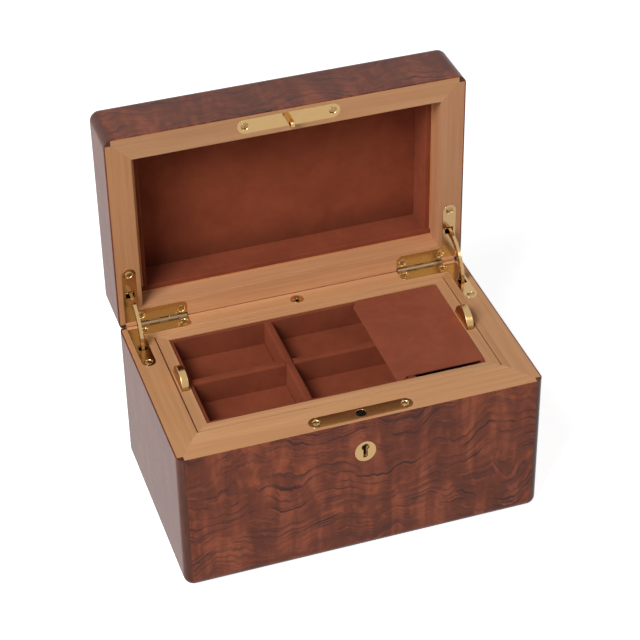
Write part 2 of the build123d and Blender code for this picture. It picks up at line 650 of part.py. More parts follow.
front, back, left, right = carcass_walls(lid_x, -lid_y, lid_y, LID_RIM, LID_WALL_TOP)
keep("lid_front_wall", carve(front, hook_cutters))
keep("lid_back_wall", carve(back, lid_pockets + [lid_bevel]))
keep("lid_left_wall", carve(left, lid_pockets))
keep("lid_right_wall", carve(right, lid_pockets))
keep("lid_top_board", inside_edging(lid_form, LID_WALL_TOP, LID_TOP - VENEER))
keep("lid_top_veneer", inside_edging(lid_form, LID_TOP - VENEER, LID_TOP))

front, back, left, right = side_veneers(lid_form, LID_RIM, LID_WALL_TOP)
keep("lid_front_veneer", front)
keep("lid_back_veneer", back - lid_bevel)
keep("lid_side_veneers", left, right)
keep("lid_corner_posts", *[post - lid_bevel for post in corner_posts(lid_form, LID_RIM, LID_WALL_TOP)])
keep("lid_top_edging", *perimeter_edging(lid_form, LID_WALL_TOP, LID_TOP))

panel_z = LID_RIM + LID_DEPTH_INSIDE
lining_z = LID_RIM + LID_LINING_START
keep("lid_lining_panel", block(-lid_x, lid_x, -lid_y, lid_y, panel_z, LID_WALL_TOP))
lining = boarded_ring(lid_x, -lid_y, lid_y, LID_LINING, lining_z, panel_z, LID_LINING_MORE_LEFT)
keep("lid_lining_boards", *lining)

keep("hook_plate", up_and_down(carve(hook_plate, plate_screw_holes(RIM))))
keep("lid_hook", lid_hook())
for name, sign in (("left", -1), ("right", 1)):
    keep(f"lid_hinge_leaf_{name}", side(lid_leaf, sign))
keep("lid_screws", *[up_and_down(one) for one in base_leaf_screws + plate_screws(RIM, (-30, 60))])

# ---- turn the lid open and write every node ---------------------------------------------------
hinge_axis = Axis((0, HINGE_Y, HINGE_Z), (1, 0, 0))
for name in set(nodes) - base_nodes:
    nodes[name] = [solid.rotate(hinge_axis, -LID_OPEN_ANGLE) for solid in nodes[name]]

os.makedirs("parts", exist_ok=True)
for name, solids in nodes.items():
    shape = solids[0] if len(solids) == 1 else Compound(solids)
    export_step(shape, f"parts/{name}.step")
print(len(nodes), "nodes written")
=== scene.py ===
import json
import math

import bmesh
import bpy
from mathutils import Matrix, Vector, noise


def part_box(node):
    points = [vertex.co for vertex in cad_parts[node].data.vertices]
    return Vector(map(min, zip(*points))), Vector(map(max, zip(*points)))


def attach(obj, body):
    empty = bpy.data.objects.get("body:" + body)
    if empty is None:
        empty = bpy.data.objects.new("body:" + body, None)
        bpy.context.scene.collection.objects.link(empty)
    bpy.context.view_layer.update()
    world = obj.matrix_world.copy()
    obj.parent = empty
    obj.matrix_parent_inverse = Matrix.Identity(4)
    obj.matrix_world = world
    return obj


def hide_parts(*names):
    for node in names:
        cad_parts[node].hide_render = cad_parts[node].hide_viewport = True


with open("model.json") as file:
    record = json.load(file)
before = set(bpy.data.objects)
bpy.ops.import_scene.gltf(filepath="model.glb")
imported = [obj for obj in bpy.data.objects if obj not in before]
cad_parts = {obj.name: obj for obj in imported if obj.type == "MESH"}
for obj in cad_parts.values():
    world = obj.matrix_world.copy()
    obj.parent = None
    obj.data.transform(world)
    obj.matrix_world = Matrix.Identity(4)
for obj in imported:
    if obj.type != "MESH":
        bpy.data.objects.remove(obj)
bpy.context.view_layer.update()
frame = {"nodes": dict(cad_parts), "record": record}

bl_info = {
    "name": "Cufflink Display Box",
    "version": (1, 0, 0),
    "blender": (4, 5, 0),
    "location": "View3D > Sidebar > Display Box",
    "description": "Dresses a lockable cufflink box in burl veneer, cedar, suede and brass, and lights it",
    "category": "Object",
}

MM = 0.001

BODIES = frame["record"]["behaviour"]["bodies"]
BODY_OF = {node: body for body, nodes in BODIES.items() for node in nodes}

# Planes and corners read from the frame: the base's rim, the open lid's rim, and the outer faces
RIM_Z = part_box("base_front_wall")[1].z
LID_RIM_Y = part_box("lid_front_wall")[0].y
OUTER_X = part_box("base_side_veneers")[1].x
OUTER_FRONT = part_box("base_front_veneer")[0].y
LID_TOP_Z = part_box("lid_front_veneer")[1].z

# Edges sharper than this are softened, and those sharper than the second stay crisp in the shading
SOFTENED_ANGLE = math.radians(35)
CRISP_ANGLE = math.radians(50)
WELD = 1e-7
FLAT_ANGLE = math.radians(0.3)
ON_PLANE = 0.02 * MM


# ---- small tools --------------------------------------------------------------------------------

def srgb(red, green, blue):
    """A linear RGBA colour from display values of 0 to 255."""
    def linear(value):
        share = value / 255
        return share / 12.92 if share <= 0.04045 else ((share + 0.055) / 1.055) ** 2.4
    return (linear(red), linear(green), linear(blue), 1.0)


def toned(colour, *tone):
    """A setting's colour, opaque, with its channels scaled by one tone or by three."""
    shares = tone if len(tone) == 3 else tone * 3
    return tuple(channel * share for channel, share in zip(colour, shares)) + (1.0,)


def piece_from(bm, name):
    """A new object in the scene from a bmesh, which is freed."""
    mesh = bpy.data.meshes.new(name)
    bm.to_mesh(mesh)
    bm.free()
    piece = bpy.data.objects.new(name, mesh)
    bpy.context.scene.collection.objects.link(piece)
    return piece


def mount_piece(piece, material, *nodes, stands_for=True):
    """Gives a piece its material and its body, and lets it stand for its CAD nodes."""
    piece.data.materials.clear()
    piece.data.materials.append(material)
    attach(piece, BODY_OF[nodes[0]])
    if stands_for:
        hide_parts(*nodes)
    return piece


def solids(node):
    """A CAD node's solids, each as a welded bmesh whose flat faces are whole.

    The faces of a solid follow one another, and it is closed once each of its edges has been met twice.
    """
    mesh = frame["nodes"][node].data
    places = [tuple(round(c / WELD) for c in vert.co) for vert in mesh.vertices]
    open_edges = set()
    bm, corners = bmesh.new(), {}
    for polygon in mesh.polygons:
        loop = [places[i] for i in polygon.vertices]
        for index, place in zip(polygon.vertices, loop):
            if place not in corners:
                corners[place] = bm.verts.new(mesh.vertices[index].co)
        if len(set(loop)) == len(loop):
            bm.faces.new([corners[place] for place in loop])
        for start, end in zip(loop, loop[1:] + loop[:1]):
            if start != end:
                open_edges ^= {frozenset((start, end))}
        if not open_edges:
            bmesh.ops.dissolve_limit(bm, angle_limit=FLAT_ANGLE, verts=bm.verts, edges=bm.edges)
            bmesh.ops.recalc_face_normals(bm, faces=bm.faces)
            yield bm
            bm, corners = bmesh.new(), {}
    bm.free()


def limits(bm):
    """The lowest and highest corners of a bmesh."""
    return tuple(Vector(pick(v.co[i] for v in bm.verts) for i in range(3)) for pick in (min, max))


def solid_boxes(node):
    """The lowest and highest corners of every solid in a CAD node."""
    boxes = []
    for bm in solids(node):
        boxes.append(limits(bm))
        bm.free()
    return boxes


def gather(whole, bm):
    """Moves a bmesh's faces into another bmesh."""
    part = bpy.data.meshes.new("part")
    bm.to_mesh(part)
    bm.free()
    whole.from_mesh(part)
    bpy.data.meshes.remove(part)


def smooth_shading(piece):
    """Smooth shading that keeps flat faces flat and unsoftened edges crisp."""
    piece.data.shade_smooth()
    piece.data.set_sharp_from_angle(angle=CRISP_ANGLE)
    weighted = piece.modifiers.new("Face weighted normals", "WEIGHTED_NORMAL")
    weighted.keep_sharp = True


def is_mitre(span):
    """Whether an edge lies across a corner, where two boards are glued with no visible gap."""
    slants = sum(abs(part) > 0.2 * span.length for part in span)
    return slants > 1 and span.length > 3 * MM


def soften(bm, width, chosen=None):
    """Rounds the sharp edges, or those for which chosen(middle of the edge) is true."""
    edges = []
    for edge in bm.edges:
        if len(edge.link_faces) != 2 or edge.calc_face_angle(0) < SOFTENED_ANGLE:
            continue
        start, end = (vert.co for vert in edge.verts)
        if chosen is None or chosen((start + end) / 2) and not is_mitre(end - start):
            edges.append(edge)
    bmesh.ops.bevel(bm, geom=edges, offset=width, offset_type="OFFSET", segments=2, profile=0.5,
                    affect="EDGES", clamp_overlap=True)


def dressed(node, material, width, chosen=None):
    """A softened copy of a CAD node that stands in its place."""
    whole = bmesh.new()
    for bm in solids(node):
        soften(bm, width, chosen)
        gather(whole, bm)
    piece = piece_from(whole, f"{node}_finish")
    smooth_shading(piece)
    return mount_piece(piece, material, node)


def on_rim(point):
    """Whether a point lies on the base's rim or on the open lid's rim."""
    return abs(point.z - RIM_Z) < ON_PLANE or abs(point.y - LID_RIM_Y) < ON_PLANE


def on_outside(point):
    """Whether a point lies on an outer face of the base or the lid."""
    return (
        abs(abs(point.x) - OUTER_X) < ON_PLANE
        or abs(point.y - OUTER_FRONT) < ON_PLANE
        or abs(point.z - LID_TOP_Z) < ON_PLANE
    )


def outer_rim(point):
    """Whether an edge is where an outer face meets a rim."""
    return on_rim(point) and on_outside(point)


def inner_rim(point):
    """Whether an edge is on a rim, in from the veneer's thickness."""
    margin = 1.2 * MM
    inside = abs(point.x) < OUTER_X - margin and point.y > OUTER_FRONT + margin
    return on_rim(point) and inside and point.z < LID_TOP_Z - margin


# ---- materials ----------------------------------------------------------------------------------

class Finish:
    """One material while its nodes are being made and wired."""

    def __init__(self, name):
        self.material = bpy.data.materials.new(name)
        self.material.use_nodes = True
        self.tree = self.material.node_tree
        self.shader = self.tree.nodes["Principled BSDF"]

    def feed(self, socket, value):
        """Sets a socket, or wires another node's output to it."""
        if isinstance(value, bpy.types.NodeSocket):
            self.tree.links.new(value, socket)
        else:
            socket.default_value = value

    def node(self, kind, inputs, **settings):
        """A new node with its settings and its inputs, by socket name or number."""
        made = self.tree.nodes.new("ShaderNode" + kind)
        for key, value in settings.items():
            setattr(made, key, value)
        for key, value in inputs.items():
            self.feed(made.inputs[key], value)
        return made

    def millimetres(self):
        """Object coordinates in millimetres."""
        coordinates = self.node("TexCoord", {}).outputs["Object"]
        return self.node("VectorMath", {0: coordinates, "Scale": 1 / MM}, operation="SCALE").outputs[0]

    def stretched(self, vector, scale):
        """The coordinates scaled on each axis."""
        return self.node("Mapping", {"Vector": vector, "Scale": scale}).outputs[0]

    def noise(self, vector, scale, detail=2.0, roughness=0.5, distortion=0.0):
        """Noise from 0 to 1, with scale in cycles per millimetre."""
        inputs = {"Vector": vector, "Scale": scale, "Detail": detail, "Roughness": roughness,
                  "Distortion": distortion}
        return self.node("TexNoise", inputs).outputs["Fac"]

    def math(self, operation, first, second=0.0, third=0.0):
        """The result of one Math node."""
        return self.node("Math", {0: first, 1: second, 2: third}, operation=operation).outputs[0]

    def remap(self, value, low, high, to_low=0.0, to_high=1.0):
        """The value moved from one range to another, eased at both ends."""
        inputs = {"Value": value, "From Min": low, "From Max": high, "To Min": to_low, "To Max": to_high}
        return self.node("MapRange", inputs, interpolation_type="SMOOTHSTEP").outputs[0]

    def blend(self, share, first, second, mode="MIX"):
        """Two colours mixed by share."""
        made = self.node("Mix", {}, data_type="RGBA", blend_type=mode)
        self.feed(made.inputs[0], share)
        self.feed(made.inputs[6], first)
        self.feed(made.inputs[7], second)
        return made.outputs[2]

    def shade(self, **sockets):
        """Feeds the shader's sockets, with underscores for the spaces in their names."""
        for key, value in sockets.items():
            self.feed(self.shader.inputs[key.replace("_", " ")], value)

    def bump(self, height, distance, strength=1.0):
        """A bump of the height, at a distance in metres."""
        inputs = {"Height": height, "Distance": distance, "Strength": strength}
        self.feed(self.shader.inputs["Normal"], self.node("Bump", inputs).outputs[0])


def lacquer(finish, roughness):
    """A thin polished coat over the wood."""
    finish.shade(Coat_Weight=0.44, Coat_Roughness=roughness, Coat_IOR=1.3)


def burl_veneer(name, along, across, offset, tone, figure=1.0):
    """Figured veneer with its dark lines running along one axis and stacked up the other.

    along and across are axis numbers, offset moves to another stretch of the same log, and figure is
    how strongly it shows.
    """
    finish = Finish(name)
    parts = finish.node("SeparateXYZ", {0: finish.millimetres()})
    run, rise = parts.outputs[along], parts.outputs[across]
    flat = finish.node("CombineXYZ", {0: run, 1: rise, 2: offset}).outputs[0]

    # Each growth line is a contour of the rise, moved up and down by a swell, a roll and a scallop
    swell = finish.noise(finish.stretched(flat, (0.8, 0.55, 1.0)), 1 / 46, 1.0)
    roll = finish.noise(finish.stretched(flat, (1.0, 0.35, 1.0)), 1 / 15, 1.0)
    scallop = finish.noise(finish.stretched(flat, (1.0, 0.4, 1.0)), 1 / 4.4, 1.5, 0.45)
    contour = finish.math("MULTIPLY_ADD", swell, 64.0, rise)
    contour = finish.math("MULTIPLY_ADD", roll, 15.0, contour)
    contour = finish.math("MULTIPLY_ADD", scallop, 5.5, contour)

    def growth(scale, detail, roughness):
        """One-dimensional noise across the growth lines."""
        inputs = {"W": contour, "Scale": scale, "Detail": detail, "Roughness": roughness}
        return finish.node("TexNoise", inputs, noise_dimensions="1D").outputs["Fac"]

    # Thin lines of uneven spacing, darker on their upper side and fading in and out
    spacing = growth(1 / 7.5, 2.0, 0.5)
    ridge = finish.math("SUBTRACT", spacing, 0.5)
    line = finish.remap(finish.math("ABSOLUTE", ridge), 0.0, 0.026, 1.0, 0.0)
    halo = finish.math("MULTIPLY", finish.remap(ridge, -0.02, 0.0), finish.remap(ridge, 0.0, 0.2, 1.0, 0.0))
    coming = finish.noise(finish.stretched(flat, (0.5, 1.2, 1.0)), 1 / 14, 2.5, 0.6)
    present = finish.remap(coming, 0.36, 0.62)
    line, halo = (finish.math("MULTIPLY", part, present) for part in (line, halo))

    # Short strokes along the growth, and upright bands where the grain dips
    stroke = finish.noise(
        finish.node("CombineXYZ", {0: finish.math("MULTIPLY", run, 0.16), 1: contour, 2: offset}).outputs[0],
        1 / 1.7, 3.0, 0.6)
    curl = finish.noise(finish.stretched(flat, (1.0, 0.22, 1.0)), 1 / 11, 2.5, 0.55, 0.5)
    fleck = finish.noise(finish.stretched(flat, (1.0, 0.55, 1.0)), 1 / 5.5, 2.0, 0.5)
    cloud = finish.noise(finish.stretched(flat, (0.6, 1.0, 1.0)), 1 / 32, 1.5)

    low, mid, high, ember = (
        srgb(red * tone, green * tone, blue * tone)
        for red, green, blue in ((98, 47, 30), (122, 60, 40), (145, 76, 50), (166, 86, 44))
    )
    shadow, ink = srgb(78, 40, 32), srgb(52, 28, 28)
    colour = finish.blend(finish.remap(curl, 0.34, 0.6), low, mid)
    colour = finish.blend(finish.remap(curl, 0.5, 0.7), colour, high)
    colour = finish.blend(finish.remap(cloud, 0.52, 0.3, 0.0, 0.45), colour, low)
    colour = finish.blend(finish.remap(stroke, 0.5, 0.72, 0.0, 0.6), colour, high)
    colour = finish.blend(finish.remap(stroke, 0.5, 0.3, 0.0, 0.5), colour, low)
    glow = finish.math("MULTIPLY", finish.remap(fleck, 0.48, 0.8), finish.remap(cloud, 0.45, 0.66))
    colour = finish.blend(finish.math("MULTIPLY", glow, 0.6), colour, ember)
    colour = finish.blend(finish.math("MULTIPLY", halo, 0.7), colour, shadow)
    colour = finish.blend(finish.math("MULTIPLY", line, 0.8), colour, ink)
    colour = finish.blend(figure, mid, colour)
    finish.shade(Base_Color=colour, Roughness=0.45, Specular_IOR_Level=0.1)
    finish.bump(finish.math("ADD", stroke, fleck), 0.01 * MM, 0.25)
    lacquer(finish, 0.05)
    return finish.material


def dark_edging(name, colour):
    """Near-black stained hardwood with a faint straight grain under lacquer."""
    finish = Finish(name)
    grain = finish.noise(finish.stretched(finish.millimetres(), (0.6, 0.6, 0.12)), 1 / 1.4, 4.0, 0.6)
    lighter = tuple(channel * 1.9 for channel in colour[:3]) + (1.0,)
    shade = finish.blend(finish.remap(grain, 0.4, 0.75, 0.0, 0.6), colour, lighter)
    finish.shade(Base_Color=shade, Roughness=0.4, Specular_IOR_Level=0.1)
    finish.bump(grain, 0.01 * MM, 0.2)
    lacquer(finish, 0.08)
    return finish.material


def cedar(name, axis, settings, tone=(1.0,), low_end_shade=1.0):
    """Pale cedar with a fine straight grain along one axis.

    The last argument is the tone of the board's end on the low side, painted shade which fades out past the
    middle.
    """
    finish = Finish(name)
    along = [1.0, 1.0, 1.0]
    along[axis] = 0.03
    place = finish.stretched(finish.millimetres(), along)
    wander = finish.noise(place, 1 / 11, 2.0)
    rings = finish.noise(place, 1 / 2.4, 3.0, 0.6, 0.4)
    pores = finish.noise(finish.stretched(finish.millimetres(), [v * 2.0 for v in along]), 1 / 0.5, 2.0, 0.7)
    pale, deep = toned(settings.cedar_light, *tone), toned(settings.cedar_dark, *tone)
    colour = finish.blend(finish.remap(rings, 0.3, 0.75, 0.0, 0.85), pale, deep)
    colour = finish.blend(finish.remap(wander, 0.45, 0.7, 0.0, 0.5), colour, toned(deep[:3], 0.95))
    colour = finish.blend(finish.remap(pores, 0.62, 0.8, 0.0, 0.14), colour, toned(deep[:3], 0.6))
    # Painted shade: the board darkens towards its end on the low side
    if low_end_shade != 1.0:
        run = finish.node("SeparateXYZ", {0: finish.millimetres()}).outputs[axis]
        fade = finish.remap(run, -70.0, 60.0, 1.0, 0.0)
        colour = finish.blend(fade, colour, (low_end_shade, low_end_shade, low_end_shade, 1.0), "MULTIPLY")
    finish.shade(Base_Color=colour, Roughness=finish.remap(pores, 0.3, 0.8, 0.45, 0.6))
    finish.shade(Specular_IOR_Level=0.3)
    finish.bump(finish.math("ADD", rings, pores), 0.02 * MM, 0.3)
    return finish.material


# How far above a crease the suede's colour is darkened as painted shade, in millimetres, and its tone in the
# crease
CREASE_REACH = 20.0
CREASE_SHADE_TONE = 0.7


def suede(name, settings, tone, crease=None):
    """Brushed suede: patches of nap that lie either way, over a fine fibre.

    crease is the height, in millimetres, of a corner above which the colour is deepened, to strengthen
    the corner's own shade.
    """
    finish = Finish(name)
    place = finish.millimetres()
    patch = finish.noise(place, 1 / 26, 2.5, 0.5, 0.4)
    smudge = finish.noise(place, 1 / 6.0, 3.0, 0.6)
    fibre = finish.noise(place, 1 / 0.45, 2.0, 0.7)
    nap = finish.math("MULTIPLY_ADD", patch, 0.7, finish.math("MULTIPLY", smudge, 0.3))
    lay, brushed = toned(settings.suede_dark, *tone), toned(settings.suede_light, *tone)
    colour = finish.blend(finish.remap(nap, 0.3, 0.7), lay, brushed)
    colour = finish.blend(finish.remap(fibre, 0.3, 0.8, 0.0, 0.22), colour, toned(brushed[:3], 1.5))
    if crease is not None:
        # Painted shade: darkest in the crease, fading out above it
        height = finish.node("SeparateXYZ", {0: place}).outputs["Z"]
        flat = finish.remap(height, crease, crease + CREASE_REACH, 1.0, 0.0)
        colour = finish.blend(flat, colour, (CREASE_SHADE_TONE, CREASE_SHADE_TONE, CREASE_SHADE_TONE, 1.0), "MULTIPLY")
    finish.shade(Base_Color=colour, Roughness=0.95, Specular_IOR_Level=0.12)
    finish.shade(Sheen_Weight=0.18, Sheen_Roughness=0.45, Sheen_Tint=srgb(196, 118, 84))
    finish.bump(finish.math("MULTIPLY_ADD", smudge, 1.4, fibre), 0.10 * MM, 0.55)
    return finish.material


def baize(name):
    """Dark green felted cloth."""
    finish = Finish(name)
    place = finish.millimetres()
    felt = finish.noise(place, 1 / 0.7, 4.0, 0.75)
    colour = finish.blend(finish.remap(felt, 0.3, 0.7), srgb(22, 40, 28), srgb(44, 70, 50))
    finish.shade(Base_Color=colour, Roughness=0.97, Sheen_Weight=0.3, Sheen_Roughness=0.5)
    finish.bump(felt, 0.2 * MM, 0.6)
    return finish.material


def brass(name, colour, polish, painted_shade_line=None):
    """Brass with the faint wipe marks and wear of handling; polish is its roughness.

    The last argument paints shade on the metal close to a line: the line's axis number, a point on it, the
    radius in millimetres, and the colour and the added roughness there.
    """
    finish = Finish(name)
    place = finish.millimetres()
    wipe = finish.noise(finish.stretched(place, (0.25, 1.0, 1.0)), 1 / 0.5, 3.0, 0.7)
    tarnish = finish.noise(place, 1 / 6, 3.0, 0.6)
    shade = finish.blend(finish.remap(tarnish, 0.45, 0.8, 0.0, 0.3), toned(colour, 1.0), toned(colour, 0.85))
    roughness = finish.math("MULTIPLY_ADD", tarnish, 0.06, polish)
    # Painted shade close to a line
    if painted_shade_line:
        axis, point, radius, dark, added = painted_shade_line
        across = [0.0 if i == axis else 1.0 for i in range(3)]
        middle = [point[i] * across[i] for i in range(3)]
        level = finish.node("VectorMath", {0: place, 1: across}, operation="MULTIPLY").outputs[0]
        apart = finish.node("VectorMath", {0: level, 1: middle}, operation="DISTANCE").outputs["Value"]
        inside = finish.remap(apart, radius * 1.05, radius * 1.2, 1.0, 0.0)
        shade = finish.blend(inside, shade, dark)
        roughness = finish.math("MULTIPLY_ADD", inside, added, roughness)
    finish.shade(Base_Color=shade, Metallic=1.0, Roughness=roughness)
    finish.bump(wipe, 0.002 * MM, 0.2)
    return finish.material


def steel(name):
    """Drawn steel, for the pins and the lock's case."""
    finish = Finish(name)
    streak = finish.noise(finish.stretched(finish.millimetres(), (0.06, 1.0, 1.0)), 1 / 0.6, 3.0, 0.6)
    colour = finish.blend(finish.remap(streak, 0.3, 0.7), srgb(176, 176, 178), srgb(214, 214, 216))
    finish.shade(Base_Color=colour, Metallic=1.0, Roughness=0.3)
    finish.bump(streak, 0.004 * MM, 0.4)
    return finish.material


MATERIALS = {}


def make_materials(settings):
    """Makes every finish once, under the names that the pieces ask for."""
    x, y, z = range(3)
    edging = tuple(settings.edging_colour) + (1.0,)
    lid_crease = min(high.z for low, high in solid_boxes("lid_lining_boards")) / MM
    MATERIALS.update({
        "front_veneer": burl_veneer("front_burl_veneer", x, z, 11.0, 1.0),
        "back_veneer": burl_veneer("back_burl_veneer", x, z, 260.0, 1.0),
        # The sides' veneer is toned darker as painted shade, and its figure is halved to stand in for the
        # reflection that washes it out
        "side_veneer": burl_veneer("side_burl_veneer", y, z, 420.0, 0.87, 0.5),
        # The lid's front veneer, also laid on its back, is toned darker as painted shade
        "lid_front_veneer": burl_veneer("lid_front_burl_veneer", x, y, 77.0, 0.92),
        "lid_top_veneer": burl_veneer("lid_top_burl_veneer", x, z, 700.0, 1.0),
        "edging": dark_edging("dark_edging", edging),
        "suede": suede("brick_suede", settings, (1.0,)),
        # The flap's suede is toned lighter, the walls' darker and the lid's lighter, as painted light and
        # shade for how each is lit
        "flap_suede_painted_light": suede("flap_suede_painted_light", settings, (1.25, 1.4, 1.55)),
        "wall_suede_painted_shade": suede("wall_suede_painted_shade", settings, (0.93, 0.92, 0.92)),
        "lid_suede_painted_light_and_shade": suede("lid_suede_painted_light_and_shade", settings, (1.08, 1.06, 1.03), lid_crease),
        "baize": baize("green_baize"),
        "brass": brass("polished_brass", settings.brass_colour, settings.brass_roughness),
        "lift_brass": brass("lift_brass", toned(settings.brass_colour, 0.85)[:3], 0.18),
        "screw_brass": brass("screw_brass", toned(settings.brass_colour, 0.7)[:3], 0.2),
        "steel": steel("drawn_steel"),
    })


# ---- soft forms ---------------------------------------------------------------------------------

def unevenness(point, size, amount):
    """A gentle unevenness of that amount, in lumps of that size."""
    return noise.noise(point / size) * amount


def cut_grid(bm, pitch, axes=(0, 1, 2)):
    """Cuts the faces by planes at the pitch, so that they can take a gentle unevenness."""
    low, high = limits(bm)
    for axis in axes:
        normal = Vector((0, 0, 0))
        normal[axis] = 1.0
        count = int((high[axis] - low[axis]) / pitch)
        for step in range(1, count + 1):
            place = Vector((0, 0, 0))
            place[axis] = low[axis] + (high[axis] - low[axis]) * step / (count + 1)
            geometry = bm.verts[:] + bm.edges[:] + bm.faces[:]
            bmesh.ops.bisect_plane(bm, geom=geometry, plane_co=place, plane_no=normal, dist=1e-7)


def box_between(low, high):
    """A box between two opposite corners, as a bmesh."""
    bm = bmesh.new()
    bmesh.ops.create_cube(bm, size=1.0)
    for vert in bm.verts:
        vert.co = Vector((high[axis] if vert.co[axis] > 0 else low[axis] for axis in range(3)))
    return bm


def roughen(bm, lump):
    """Cuts the faces up and sinks them a little, unevenly, by up to lump."""
    cut_grid(bm, 5.0 * MM)
    bm.normal_update()
    for vert in bm.verts:
        vert.co -= vert.normal * (unevenness(vert.co, 14 * MM, 0.5) + 0.5) * lump


def covered_boards(name, material, node, rounding, lump):
    """Every board of a node wrapped in suede: soft edges, and faces that are never quite flat."""
    whole = bmesh.new()
    for bm in solids(node):
        soften(bm, rounding)
        roughen(bm, lump)
        gather(whole, bm)
    piece = piece_from(whole, name)
    smooth_shading(piece)
    return mount_piece(piece, material, node)


def crowned_pad(bm, low, high, axis, facing, rounding, lump):
    """Adds a padded panel that fills a box and swells towards its middle.

    axis is the thin axis, and facing is 1 or -1 for the side that shows.
    """
    pitch = 3.0 * MM
    rows, columns = [i for i in range(3) if i != axis]
    span_row, span_column = high[rows] - low[rows], high[columns] - low[columns]
    count_row, count_column = max(4, int(span_row / pitch)), max(4, int(span_column / pitch))

    def eased(count, span):
        """Places along one side, with two extra ones close to each end for the rounded edge."""
        plain = [span * i / count for i in range(1, count)]
        lead = [0.0, rounding * 0.15, rounding * 0.5, rounding]
        middle = [p for p in plain if rounding < p < span - rounding]
        return lead + middle + [span - p for p in reversed(lead)]

    places_row, places_column = eased(count_row, span_row), eased(count_column, span_column)
    shown, hidden = (high[axis], low[axis]) if facing > 0 else (low[axis], high[axis])
    thick = abs(shown - hidden)
    grid = []
    for row in places_row:
        line = []
        for column in places_column:
            edge = min(row, span_row - row, column, span_column - column)
            near = max(0.0, 1.0 - edge / rounding)
            sag = rounding * (1.0 - math.sqrt(max(0.0, 1.0 - near * near))) * 0.8
            swell = max(0.0, math.sin(math.pi * row / span_row) * math.sin(math.pi * column / span_column))
            co = Vector((0, 0, 0))
            co[rows], co[columns] = low[rows] + row, low[columns] + column
            dip = sag + lump * (1.0 - swell ** 0.4) + lump * 0.5 * (unevenness(co, 11 * MM, 1.0) + 0.6)
            co[axis] = shown - facing * min(dip, thick * 0.8)
            line.append(bm.verts.new(co))
        grid.append(line)
    faces = []
    for i in range(len(grid) - 1):
        for j in range(len(grid[0]) - 1):
            faces.append(bm.faces.new((grid[i][j], grid[i + 1][j], grid[i + 1][j + 1], grid[i][j + 1])))
    border = grid[0][:] + [line[-1] for line in grid[1:]]
    border += grid[-1][-2::-1] + [line[0] for line in grid[-2:0:-1]]
    below = []
    for vert in border:
        co = vert.co.copy()
        co[axis] = hidden
        below.append(bm.verts.new(co))
    for i in range(len(border)):
        j = (i + 1) % len(border)
        faces.append(bm.faces.new((border[i], border[j], below[j], below[i])))
    faces.append(bm.faces.new(below))
    bmesh.ops.recalc_face_normals(bm, faces=faces)


def padded_panels(name, material, node, axis, facing, rounding, lump):
    """Padded suede panels in place of a node's plain ones."""
    bm = bmesh.new()
    for low, high in solid_boxes(node):
        crowned_pad(bm, low, high, axis, facing, rounding, lump)
    piece = piece_from(bm, name)
    smooth_shading(piece)
    mount_piece(piece, material, node)
    return piece


# ---- the pieces ---------------------------------------------------------------------------------

def paint(node, material):
    """Gives a CAD node that keeps its own mesh its finish."""
    frame["nodes"][node].data.materials.clear()
    frame["nodes"][node].data.materials.append(material)


# The grain's axis on the boards of each side, and how light each board is against the usual cedar, as painted
# light and shade for how each board is lit
LYING_GRAIN = {"front": 0, "back": 0, "left": 1, "right": 1}
STANDING_GRAIN = {"front": 0, "back": 0, "left": 2, "right": 2}
PAINTED_CEDAR_LIGHT_AND_SHADE = {
    "base_front_wall": (1.24,), "base_back_wall": (1.2,), "base_left_wall": (1.04, 1.03, 0.98),
    "base_right_wall": (1.13,), "liner_front": (1.24, 1.27, 1.27), "liner_back": (1.2,),
    "liner_left": (1.08,), "liner_right": (1.04, 0.98, 0.95),
    "lid_front_wall": (1.1, 1.09, 1.11), "lid_back_wall": (1.2, 1.17, 1.21),
    "lid_left_wall": (0.87, 0.8, 0.75), "lid_right_wall": (0.98, 0.92, 0.97),
    "tray_front_rail": (1.2, 1.23, 1.25), "tray_back_rail": (1.16,), "tray_left_rail": (1.05,),
    "tray_right_rail": (1.12,),
}


# The lid's front wall is painted darker towards its low end, as painted shade
PAINTED_LOW_END_SHADES = {"lid_front_wall": 0.82}


def cedar_boards(pattern, grains, settings, chosen):
    """The four boards of one frame, each toned lighter or darker as painted light and shade."""
    for side, axis in grains.items():
        node = pattern.format(side)
        wood = cedar(f"{node}_cedar", axis, settings, PAINTED_CEDAR_LIGHT_AND_SHADE[node], PAINTED_LOW_END_SHADES.get(node, 1.0))
        dressed(node, wood, settings.wood_edge, chosen)


def make_carcass(settings):
    """The base's cedar walls, bottom board and mitred liner."""
    cedar_boards("base_{}_wall", LYING_GRAIN, settings, inner_rim)
    cedar_boards("liner_{}", LYING_GRAIN, settings, inner_rim)
    paint("base_bottom_board", cedar("base_bottom_cedar", 0, settings))


def make_lid(settings):
    """The lid's cedar walls and its top board."""
    cedar_boards("lid_{}_wall", STANDING_GRAIN, settings, inner_rim)
    paint("lid_top_board", cedar("lid_top_cedar", 0, settings))


def make_outside(settings):
    """The veneer sheets and the dark edging of the base and the lid."""
    width = settings.outer_edge
    sheets = {
        "base_front_veneer": "front_veneer", "base_back_veneer": "back_veneer",
        "base_side_veneers": "side_veneer", "lid_front_veneer": "lid_front_veneer",
        "lid_back_veneer": "lid_front_veneer", "lid_side_veneers": "side_veneer",
        "lid_top_veneer": "lid_top_veneer",
    }
    for node, finish in sheets.items():
        dressed(node, MATERIALS[finish], width, outer_rim)
    for node in ("base_corner_posts", "base_foot_edging", "lid_corner_posts", "lid_top_edging"):
        dressed(node, MATERIALS["edging"], width, outer_rim)


